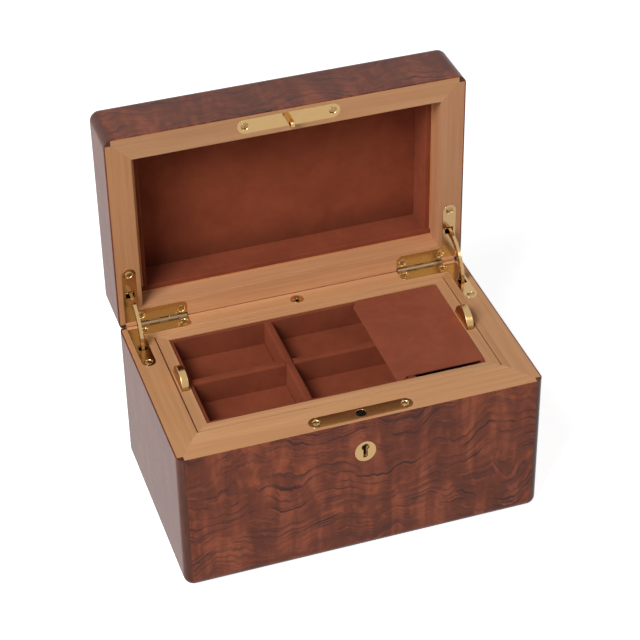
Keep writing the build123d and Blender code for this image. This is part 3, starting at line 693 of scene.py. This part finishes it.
def make_underside(settings):
    """The baize under the box, a thin glued sheet with a frayed softness at its edge."""
    low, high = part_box("underside_baize")
    bm = next(solids("underside_baize"))
    cut_grid(bm, 5.0 * MM, (0, 1))
    for vert in bm.verts:
        outward = Vector((vert.co.x, vert.co.y, 0)).normalized()
        if abs(vert.co.x) > high.x - ON_PLANE or abs(vert.co.y) > high.y - ON_PLANE:
            vert.co -= outward * (0.15 * MM * (unevenness(vert.co, 3 * MM, 0.5) + 0.5))
    sheet = piece_from(bm, "underside_baize_sheet")
    mount_piece(sheet, MATERIALS["baize"], "underside_baize")


def make_linings(settings):
    """The suede-covered boards and the padded panels of the well and the lid."""
    cloth = MATERIALS["suede"]
    rounding = settings.suede_edge
    covered_boards("well_boards_suede", cloth, "well_lining_boards", rounding, 0.10 * MM)
    lid_boards(settings)
    padded_panels("well_floor_suede", cloth, "well_floor_pad", 2, 1, 0.8 * MM, 0.35 * MM)
    lid_cloth = MATERIALS["lid_suede_painted_light_and_shade"]
    padded_panels("lid_panel_suede", lid_cloth, "lid_lining_panel", 1, -1, 0.7 * MM, 0.3 * MM)


# The bare wood of the lid's lining boards, which shows at their front edges beside the suede
LID_CORE = 0.9 * MM
LID_CORE_LEFT = 4.3 * MM
LID_CORE_BACK = 0.2 * MM


def lid_boards(settings):
    """The lid's lining boards: wooden cores against the walls, and suede over their inner sides."""
    low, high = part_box("lid_lining_boards")
    middle = (low + high) / 2
    cores, covers = bmesh.new(), bmesh.new()
    for low, high in solid_boxes("lid_lining_boards"):
        axis = 0 if high.x - low.x < high.z - low.z else 2
        outer = low if (low + high)[axis] < 2 * middle[axis] else high
        inward = 1 if outer is low else -1
        thick = LID_CORE_LEFT if axis == 0 and inward > 0 else LID_CORE
        core, cover = (low.copy(), high.copy()), (low.copy(), high.copy())
        split = outer[axis] + inward * thick
        core[inward > 0][axis] = cover[inward < 0][axis] = split
        core[0].y += LID_CORE_BACK
        for whole, corners, rounding in ((cores, core, 0.1 * MM), (covers, cover, settings.suede_edge)):
            bm = box_between(*corners)
            soften(bm, rounding)
            if whole is covers:
                roughen(bm, 0.10 * MM)
            gather(whole, bm)
    piece = piece_from(covers, "lid_boards_suede")
    smooth_shading(piece)
    mount_piece(piece, MATERIALS["suede"], "lid_lining_boards")
    piece = piece_from(cores, "lid_board_cores")
    smooth_shading(piece)
    wood = cedar("lid_core_wood", 2, settings, (1.2, 1.0, 0.85))
    mount_piece(piece, wood, "lid_lining_boards", stands_for=False)


def make_tray(settings):
    """The lift-out tray: mitred cedar rails, and dividers, linings and pads in suede."""
    cedar_boards("tray_{}_rail", LYING_GRAIN, settings, tray_edges)
    paint("tray_bottom", cedar("tray_bottom_cedar", 0, settings))
    cloth = MATERIALS["wall_suede_painted_shade"]
    rounding = settings.suede_edge
    covered_boards("tray_linings_suede", cloth, "tray_lining_boards", rounding, 0.08 * MM)
    covered_boards("tray_long_dividers_suede", cloth, "tray_long_dividers", rounding, 0.12 * MM)
    covered_boards("tray_cross_dividers_suede", cloth, "tray_cross_dividers", rounding, 0.12 * MM)
    padded_panels("tray_pads_suede", MATERIALS["suede"], "tray_floor_pads", 2, 1, 0.6 * MM, 0.3 * MM)


def tray_edges(point):
    """Whether an edge is on the tray's own rim or along its foot."""
    return on_rim(point) or point.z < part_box("tray_bottom")[0].z + ON_PLANE


def make_flap(settings):
    """The flap: a stiff board in suede, soft at its edges and very slightly uneven."""
    bm = next(solids("tray_flap"))
    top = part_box("tray_flap")[1].z
    soften(bm, 0.7 * settings.suede_edge)
    cut_grid(bm, 4.0 * MM, (0, 1))
    for vert in bm.verts:
        if vert.co.z > top - 0.2 * MM:
            vert.co.z -= (unevenness(vert.co, 16 * MM, 0.5) + 0.5) * 0.12 * MM
    piece = piece_from(bm, "tray_flap_suede")
    smooth_shading(piece)
    mount_piece(piece, MATERIALS["flap_suede_painted_light"], "tray_flap")


# Radii in millimetres of the hinges' barrels and of the rim bush's hole, around which shade is painted
BARREL = 1.7
BUSH_BORE = 1.1


def middle_of(node):
    """The middle of a CAD node's box, in millimetres."""
    low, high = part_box(node)
    return (low + high) / (2 * MM)


def make_hinges(settings):
    """The hinge leaves, their barrels painted darker and duller as painted shade, their pins and the stay
    arms.
    """
    colour = toned(settings.brass_colour, 0.87, 0.88, 0.95)[:3]
    barrel_painted_shade = (0, middle_of("hinge_pins"), BARREL, toned(colour, 0.6, 0.6, 0.72), 0.04)
    leaf_brass = brass("leaf_brass", colour, settings.brass_roughness, barrel_painted_shade)
    arm_brass = brass("arm_brass", colour, 0.09)
    for side in ("left", "right"):
        for node in (f"base_hinge_leaf_{side}", f"lid_hinge_leaf_{side}"):
            dressed(node, leaf_brass, settings.brass_edge)
        dressed(f"stay_arm_{side}", arm_brass, settings.brass_edge)
    paint("hinge_pins", MATERIALS["steel"])


def make_lock(settings):
    """The lock and hook plates, the hook, the escutcheon, the rim bush and the lock's inside."""
    for node in ("lock_plate", "hook_plate", "lid_hook", "keyhole_escutcheon"):
        dressed(node, MATERIALS["brass"], settings.brass_edge)
    # The rim bush's bore is painted near-black, as painted shade in the hole
    bore_painted_shade = (2, middle_of("rim_bush"), BUSH_BORE, srgb(24, 16, 10), 0.7)
    bush_brass = brass("bush_brass", settings.brass_colour, settings.brass_roughness, bore_painted_shade)
    dressed("rim_bush", bush_brass, settings.brass_edge)
    paint("lock_case", MATERIALS["steel"])
    paint("lock_bolt", MATERIALS["brass"])


def make_lifts(settings):
    """The two half-moon tray lifts and their pins."""
    for side in ("left", "right"):
        dressed(f"tray_lift_{side}", MATERIALS["lift_brass"], settings.brass_edge)
    paint("tray_lift_pins", MATERIALS["steel"])


# ---- screws, by geometry nodes ------------------------------------------------------------------

def screw_tree():
    """A node tree that sets a domed, slotted screw at every point of its input mesh."""
    tree = bpy.data.node_groups.new("Slotted screws", "GeometryNodeTree")
    face = tree.interface
    face.new_socket("Geometry", in_out="INPUT", socket_type="NodeSocketGeometry")
    sizes = {"Head radius": 2.3 * MM, "Dome height": 0.6 * MM, "Slot width": 0.5 * MM,
             "Slot depth": 0.4 * MM, "Shank radius": 1.0 * MM, "Shank length": 9.5 * MM}
    for label, value in sizes.items():
        socket = face.new_socket(label, in_out="INPUT", socket_type="NodeSocketFloat")
        socket.default_value = value
        socket.subtype = "DISTANCE"
    face.new_socket("Facing", in_out="INPUT", socket_type="NodeSocketVector")
    seed = face.new_socket("Seed", in_out="INPUT", socket_type="NodeSocketInt")
    seed.default_value = 7
    face.new_socket("Material", in_out="INPUT", socket_type="NodeSocketMaterial")
    face.new_socket("Geometry", in_out="OUTPUT", socket_type="NodeSocketGeometry")

    def node(kind, inputs=None, **settings):
        made = tree.nodes.new(kind)
        for key, value in settings.items():
            setattr(made, key, value)
        for key, value in (inputs or {}).items():
            if isinstance(value, bpy.types.NodeSocket):
                tree.links.new(value, made.inputs[key])
            else:
                made.inputs[key].default_value = value
        return made

    def maths(operation, first, second):
        return node("ShaderNodeMath", {0: first, 1: second}, operation=operation).outputs[0]

    def vector(x, y, z):
        return node("ShaderNodeCombineXYZ", {0: x, 1: y, 2: z}).outputs[0]

    given = node("NodeGroupInput").outputs
    radius, dome = given["Head radius"], given["Dome height"]
    ball = node("GeometryNodeMeshUVSphere", {"Segments": 32, "Rings": 16, "Radius": 1.0}).outputs["Mesh"]
    head = node("GeometryNodeTransform", {"Geometry": ball, "Scale": vector(radius, radius, dome)}).outputs[0]
    bar_depth = maths("MULTIPLY", given["Slot depth"], 2.0)
    bar_size = vector(maths("MULTIPLY", radius, 3.0), given["Slot width"], bar_depth)
    bar = node("GeometryNodeMeshCube", {"Size": bar_size}).outputs["Mesh"]
    bar = node("GeometryNodeTransform", {"Geometry": bar, "Translation": vector(0.0, 0.0, dome)}).outputs[0]
    slotted = node("GeometryNodeMeshBoolean", {"Mesh 1": head, "Mesh 2": bar}, operation="DIFFERENCE",
                   solver="EXACT").outputs["Mesh"]
    length = given["Shank length"]
    shank = node("GeometryNodeMeshCone", {"Vertices": 16, "Radius Top": given["Shank radius"],
                                          "Radius Bottom": maths("MULTIPLY", given["Shank radius"], 0.35),
                                          "Depth": length}).outputs["Mesh"]
    sunk = maths("MULTIPLY", length, -1.0)
    shank = node("GeometryNodeTransform",
                 {"Geometry": shank, "Translation": vector(0.0, 0.0, sunk)}).outputs[0]
    join = node("GeometryNodeJoinGeometry")
    for part in (slotted, shank):
        tree.links.new(part, join.inputs[0])
    edge_angle = node("GeometryNodeInputMeshEdgeAngle").outputs["Unsigned Angle"]
    sharp = node("FunctionNodeCompare", {0: edge_angle, 1: CRISP_ANGLE}, operation="GREATER_THAN").outputs[0]
    screw = node("GeometryNodeSetShadeSmooth", {"Geometry": join.outputs[0], "Shade Smooth": sharp},
                 domain="EDGE").outputs[0]
    points = node("GeometryNodeMeshToPoints", {"Mesh": given["Geometry"]}).outputs[0]
    turn = node("FunctionNodeRandomValue", {"Min": 0.0, "Max": math.pi, "Seed": given["Seed"]},
                data_type="FLOAT")
    scalar_turn = next(s for s in turn.outputs if s.enabled and s.type == "VALUE")
    facing = node("FunctionNodeAlignRotationToVector", {"Vector": given["Facing"]}, axis="Z").outputs[0]
    spin = node("FunctionNodeAxisAngleToRotation", {"Axis": (0.0, 0.0, 1.0), "Angle": scalar_turn}).outputs[0]
    rotation = node("FunctionNodeRotateRotation", {0: facing, 1: spin}, rotation_space="LOCAL").outputs[0]
    placed = node("GeometryNodeInstanceOnPoints",
                  {"Points": points, "Instance": screw, "Rotation": rotation}).outputs[0]
    real = node("GeometryNodeRealizeInstances", {"Geometry": placed}).outputs[0]
    done = node("GeometryNodeSetMaterial", {"Geometry": real, "Material": given["Material"]}).outputs[0]
    result = node("NodeGroupOutput")
    tree.links.new(done, result.inputs[0])
    return tree


def made_by_nodes(name, points, tree, values):
    """The plain mesh that a node tree makes from loose points, with its named inputs set first."""
    mesh = bpy.data.meshes.new(f"{name}_points")
    mesh.from_pydata(points, [], [])
    source = bpy.data.objects.new(f"{name}_points", mesh)
    bpy.context.scene.collection.objects.link(source)
    modifier = source.modifiers.new("Nodes", "NODES")
    modifier.node_group = tree
    for item in tree.interface.items_tree:
        if item.item_type == "SOCKET" and item.in_out == "INPUT" and item.name in values:
            modifier[item.identifier] = values[item.name]
    evaluated = source.evaluated_get(bpy.context.evaluated_depsgraph_get())
    plain = bpy.data.meshes.new_from_object(evaluated)
    source.modifiers.remove(modifier)
    bpy.data.objects.remove(source)
    piece = bpy.data.objects.new(name, plain)
    bpy.context.scene.collection.objects.link(piece)
    return piece


def make_screws(settings):
    """Domed brass screws in the base's and the open lid's fittings."""
    tree = screw_tree()
    seat = 0.42 * MM
    for node, axis, side in (("base_screws", 2, 1), ("lid_screws", 1, -1)):
        facing = Vector((0, 0, 0))
        facing[axis] = side
        heads = []
        for low, high in solid_boxes(node):
            place = (low + high) / 2
            place[axis] = (high[axis] if side > 0 else low[axis]) - side * seat
            heads.append(place)
        values = {"Head radius": settings.screw_head / 2, "Facing": facing,
                  "Material": MATERIALS["screw_brass"]}
        piece = made_by_nodes(f"{node}_domed", heads, tree, values)
        mount_piece(piece, MATERIALS["screw_brass"], node)


# ---- the stage ----------------------------------------------------------------------------------

# The camera stands to the left of the front, above the box and looking down
CAMERA_AZIMUTH = -17.995
CAMERA_ELEVATION = 36.519
CAMERA_ROLL = -0.986
CAMERA_PLACE = Vector((-315.2, -956.6, 872.7)) * MM
PICTURE = 640
FOCAL_PIXELS = 2058.9
SENSOR = 36.0


def make_camera():
    """The camera, level with a slight roll."""
    azimuth, elevation, roll = (math.radians(v) for v in (CAMERA_AZIMUTH, CAMERA_ELEVATION, CAMERA_ROLL))
    back = Vector((math.sin(azimuth) * math.cos(elevation), -math.cos(azimuth) * math.cos(elevation),
                   math.sin(elevation)))
    right = (-back).cross(Vector((0, 0, 1))).normalized()
    up = right.cross(-back)
    rolled_right = right * math.cos(roll) + up * math.sin(roll)
    rolled_up = up * math.cos(roll) - right * math.sin(roll)
    data = bpy.data.cameras.new("Camera")
    data.sensor_width = SENSOR
    data.lens = FOCAL_PIXELS / PICTURE * SENSOR
    data.clip_start, data.clip_end = 0.01, 20.0
    camera = bpy.data.objects.new("Camera", data)
    turned = Matrix((rolled_right, rolled_up, back)).transposed().to_4x4()
    camera.matrix_world = Matrix.Translation(CAMERA_PLACE) @ turned
    bpy.context.scene.collection.objects.link(camera)
    bpy.context.scene.camera = camera


def ray_share(tree, *rays):
    """1 for the rays named, and 0 for the others."""
    path = tree.nodes.new("ShaderNodeLightPath")
    total = path.outputs[rays[0]]
    for ray in rays[1:]:
        add = tree.nodes.new("ShaderNodeMath")
        add.operation = "ADD"
        add.use_clamp = True
        tree.links.new(total, add.inputs[0])
        tree.links.new(path.outputs[ray], add.inputs[1])
        total = add.outputs[0]
    return total


def make_floor():
    """A wide pale floor that keeps the box's shadow, and is plain white in reflections."""
    half = 4.0
    mesh = bpy.data.meshes.new("Floor")
    level = -0.1 * MM
    mesh.from_pydata([(-half, -half, level), (half, -half, level), (half, half, level), (-half, half, level)],
                     [], [(0, 1, 2, 3)])
    floor = bpy.data.objects.new("Floor", mesh)
    bpy.context.scene.collection.objects.link(floor)
    material = bpy.data.materials.new("pale_floor")
    material.use_nodes = True
    tree = material.node_tree
    tree.nodes.clear()
    matt = tree.nodes.new("ShaderNodeBsdfDiffuse")
    matt.inputs["Color"].default_value = (0.8, 0.8, 0.8, 1)
    glow = tree.nodes.new("ShaderNodeEmission")
    lift = tree.nodes.new("ShaderNodeMath")
    lift.operation = "MULTIPLY"
    lift.inputs[1].default_value = 0.88
    tree.links.new(ray_share(tree, "Is Camera Ray"), lift.inputs[0])
    tree.links.new(lift.outputs[0], glow.inputs["Strength"])
    both = tree.nodes.new("ShaderNodeAddShader")
    mirrored = tree.nodes.new("ShaderNodeEmission")
    mirrored.inputs["Color"].default_value = (0.95, 0.95, 0.95, 1)
    either = tree.nodes.new("ShaderNodeMixShader")
    out = tree.nodes.new("ShaderNodeOutputMaterial")
    tree.links.new(matt.outputs[0], both.inputs[0])
    tree.links.new(glow.outputs[0], both.inputs[1])
    tree.links.new(ray_share(tree, "Is Glossy Ray", "Is Transmission Ray"), either.inputs[0])
    tree.links.new(both.outputs[0], either.inputs[1])
    tree.links.new(mirrored.outputs[0], either.inputs[2])
    tree.links.new(either.outputs[0], out.inputs["Surface"])
    mesh.materials.append(material)


def make_world(settings):
    """A white room to see and reflect, that lights the box more gently."""
    world = bpy.data.worlds.new("Room")
    world.use_nodes = True
    tree = world.node_tree
    room = tree.nodes["Background"]
    room.inputs["Color"].default_value = (1, 1, 1, 1)
    level = tree.nodes.new("ShaderNodeMapRange")
    seen = ray_share(tree, "Is Camera Ray", "Is Glossy Ray", "Is Transmission Ray")
    tree.links.new(seen, level.inputs["Value"])
    level.inputs["To Min"].default_value = settings.room_light
    level.inputs["To Max"].default_value = 1.0
    tree.links.new(level.outputs[0], room.inputs["Strength"])
    bpy.context.scene.world = world


def make_lamp(name, place, target, size, power):
    """A soft square lamp aimed at a point."""
    data = bpy.data.lights.new(name, "AREA")
    data.shape = "SQUARE"
    data.size = size
    data.energy = power
    lamp = bpy.data.objects.new(name, data)
    lamp.location = place
    lamp.rotation_mode = "QUATERNION"
    lamp.rotation_quaternion = (Vector(target) - Vector(place)).to_track_quat("-Z", "Y")
    bpy.context.scene.collection.objects.link(lamp)


# ---- add-on classes -----------------------------------------------------------------------------

class DisplayBoxSettings(bpy.types.PropertyGroup):
    """Sizes and colours that a user may change."""

    wood_edge: bpy.props.FloatProperty(
        name="Wood edge", description="How far the cedar's bare edges are softened",
        default=0.22 * MM, min=0.0, unit="LENGTH")
    outer_edge: bpy.props.FloatProperty(
        name="Outer edge", description="How far the veneer's edge is eased at the rims",
        default=0.35 * MM, min=0.0, unit="LENGTH")
    brass_edge: bpy.props.FloatProperty(
        name="Brass edge", description="How far the edges of the fittings are polished away",
        default=0.16 * MM, min=0.0, unit="LENGTH")
    suede_edge: bpy.props.FloatProperty(
        name="Suede edge", description="Rounding of a board's edge under its suede",
        default=0.5 * MM, min=0.0, unit="LENGTH")
    screw_head: bpy.props.FloatProperty(
        name="Screw head", description="Diameter of a screw's head",
        default=4.7 * MM, min=1.0 * MM, unit="LENGTH")
    edging_colour: bpy.props.FloatVectorProperty(
        name="Edging", description="Colour of the dark edging", subtype="COLOR",
        default=srgb(76, 40, 29)[:3], min=0.0, max=1.0)
    cedar_light: bpy.props.FloatVectorProperty(
        name="Cedar, light", description="Colour of the cedar's early wood", subtype="COLOR",
        default=srgb(186, 139, 98)[:3], min=0.0, max=1.0)
    cedar_dark: bpy.props.FloatVectorProperty(
        name="Cedar, dark", description="Colour of the cedar's late wood", subtype="COLOR",
        default=srgb(173, 123, 84)[:3], min=0.0, max=1.0)
    suede_light: bpy.props.FloatVectorProperty(
        name="Suede, brushed", description="Colour of the suede's raised nap", subtype="COLOR",
        default=srgb(131, 66, 44)[:3], min=0.0, max=1.0)
    suede_dark: bpy.props.FloatVectorProperty(
        name="Suede, flat", description="Colour of the suede's flattened nap", subtype="COLOR",
        default=srgb(115, 55, 36)[:3], min=0.0, max=1.0)
    brass_colour: bpy.props.FloatVectorProperty(
        name="Brass", description="Colour of the polished brass", subtype="COLOR",
        default=(0.62, 0.405, 0.18), min=0.0, max=1.0)
    brass_roughness: bpy.props.FloatProperty(
        name="Brass polish", description="Roughness of the polished brass", default=0.14, min=0.0, max=1.0,
        subtype="FACTOR")
    room_light: bpy.props.FloatProperty(
        name="Room light", description="Strength of the light that the white room gives",
        default=0.01, min=0.0, max=2.0, subtype="FACTOR")
    key_power: bpy.props.FloatProperty(
        name="Key lamp", description="Power of the main lamp", default=28.0, min=0.0, unit="POWER")
    side_power: bpy.props.FloatProperty(
        name="Side lamp", description="Power of the low lamp at the left", default=7.0, min=0.0, unit="POWER")
    fill_power: bpy.props.FloatProperty(
        name="Fill lamp", description="Power of the fill lamp", default=5.0, min=0.0, unit="POWER")


def settings_of(context):
    """The scene's settings for this box."""
    return context.scene.display_box


class DISPLAYBOX_OT_materials(bpy.types.Operator):
    """Make every finish that the pieces use"""

    bl_idname = "display_box.materials"
    bl_label = "Materials"

    def execute(self, context):
        make_materials(settings_of(context))
        return {"FINISHED"}


class DISPLAYBOX_OT_carcass(bpy.types.Operator):
    """Finish the base's walls and liner"""

    bl_idname = "display_box.carcass"
    bl_label = "Base carcass"

    def execute(self, context):
        make_carcass(settings_of(context))
        return {"FINISHED"}


class DISPLAYBOX_OT_lid(bpy.types.Operator):
    """Finish the lid's walls"""

    bl_idname = "display_box.lid"
    bl_label = "Lid"

    def execute(self, context):
        make_lid(settings_of(context))
        return {"FINISHED"}


class DISPLAYBOX_OT_outside(bpy.types.Operator):
    """Lay the veneer and the dark edging"""

    bl_idname = "display_box.outside"
    bl_label = "Veneer and edging"

    def execute(self, context):
        make_outside(settings_of(context))
        return {"FINISHED"}


class DISPLAYBOX_OT_underside(bpy.types.Operator):
    """Glue the baize under the box"""

    bl_idname = "display_box.underside"
    bl_label = "Baize"

    def execute(self, context):
        make_underside(settings_of(context))
        return {"FINISHED"}


class DISPLAYBOX_OT_linings(bpy.types.Operator):
    """Line the storage well and the lid with suede"""

    bl_idname = "display_box.linings"
    bl_label = "Suede linings"

    def execute(self, context):
        make_linings(settings_of(context))
        return {"FINISHED"}


class DISPLAYBOX_OT_tray(bpy.types.Operator):
    """Finish the lift-out tray"""

    bl_idname = "display_box.tray"
    bl_label = "Tray"

    def execute(self, context):
        make_tray(settings_of(context))
        return {"FINISHED"}


class DISPLAYBOX_OT_flap(bpy.types.Operator):
    """Cover the tray's flap in suede"""

    bl_idname = "display_box.flap"
    bl_label = "Flap"

    def execute(self, context):
        make_flap(settings_of(context))
        return {"FINISHED"}


class DISPLAYBOX_OT_hinges(bpy.types.Operator):
    """Polish the hinges and the stay arms"""

    bl_idname = "display_box.hinges"
    bl_label = "Hinges and stays"

    def execute(self, context):
        make_hinges(settings_of(context))
        return {"FINISHED"}


class DISPLAYBOX_OT_lock(bpy.types.Operator):
    """Polish the lock, the hook and the escutcheon"""

    bl_idname = "display_box.lock"
    bl_label = "Lock"

    def execute(self, context):
        make_lock(settings_of(context))
        return {"FINISHED"}


class DISPLAYBOX_OT_lifts(bpy.types.Operator):
    """Polish the tray lifts"""

    bl_idname = "display_box.lifts"
    bl_label = "Tray lifts"

    def execute(self, context):
        make_lifts(settings_of(context))
        return {"FINISHED"}


class DISPLAYBOX_OT_screws(bpy.types.Operator):
    """Set the screws in the fittings"""

    bl_idname = "display_box.screws"
    bl_label = "Screws"

    def execute(self, context):
        make_screws(settings_of(context))
        return {"FINISHED"}


class DISPLAYBOX_OT_stage(bpy.types.Operator):
    """Set the floor, the room, the lamps and the camera"""

    bl_idname = "display_box.stage"
    bl_label = "Stage"

    def execute(self, context):
        settings = settings_of(context)
        context.scene.view_settings.view_transform = "Standard"
        make_floor()
        make_world(settings)
        target = (0.0, 0.03, 0.11)
        make_lamp("Key lamp", (-0.95, -0.75, 1.35), target, 0.72, settings.key_power)
        make_lamp("Side lamp", (-1.4, -0.8, 0.7), target, 0.7, settings.side_power)
        make_lamp("Fill lamp", (1.1, -1.0, 1.2), target, 0.9, settings.fill_power)
        make_camera()
        return {"FINISHED"}


STEPS = (
    DISPLAYBOX_OT_materials, DISPLAYBOX_OT_carcass, DISPLAYBOX_OT_lid, DISPLAYBOX_OT_outside,
    DISPLAYBOX_OT_underside, DISPLAYBOX_OT_linings, DISPLAYBOX_OT_tray, DISPLAYBOX_OT_flap,
    DISPLAYBOX_OT_hinges, DISPLAYBOX_OT_lock, DISPLAYBOX_OT_lifts, DISPLAYBOX_OT_screws, DISPLAYBOX_OT_stage,
)


class DISPLAYBOX_PT_sidebar(bpy.types.Panel):
    """Lists the settings and the steps"""

    bl_label = "Display Box"
    bl_idname = "DISPLAYBOX_PT_sidebar"
    bl_space_type = "VIEW_3D"
    bl_region_type = "UI"
    bl_category = "Display Box"

    def draw(self, context):
        column = self.layout.column(align=True)
        settings = settings_of(context)
        for key in DisplayBoxSettings.__annotations__:
            column.prop(settings, key)
        self.layout.separator()
        column = self.layout.column(align=True)
        for step in STEPS:
            column.operator(step.bl_idname)


CLASSES = (DisplayBoxSettings, *STEPS, DISPLAYBOX_PT_sidebar)


def register():
    for cls in CLASSES:
        bpy.utils.register_class(cls)
    bpy.types.Scene.display_box = bpy.props.PointerProperty(type=DisplayBoxSettings)


def unregister():
    del bpy.types.Scene.display_box
    for cls in reversed(CLASSES):
        bpy.utils.unregister_class(cls)


def main():
    register()
    for step in STEPS:
        group, name = step.bl_idname.split(".")
        getattr(getattr(bpy.ops, group), name)()


if __name__ == "__main__":
    main()
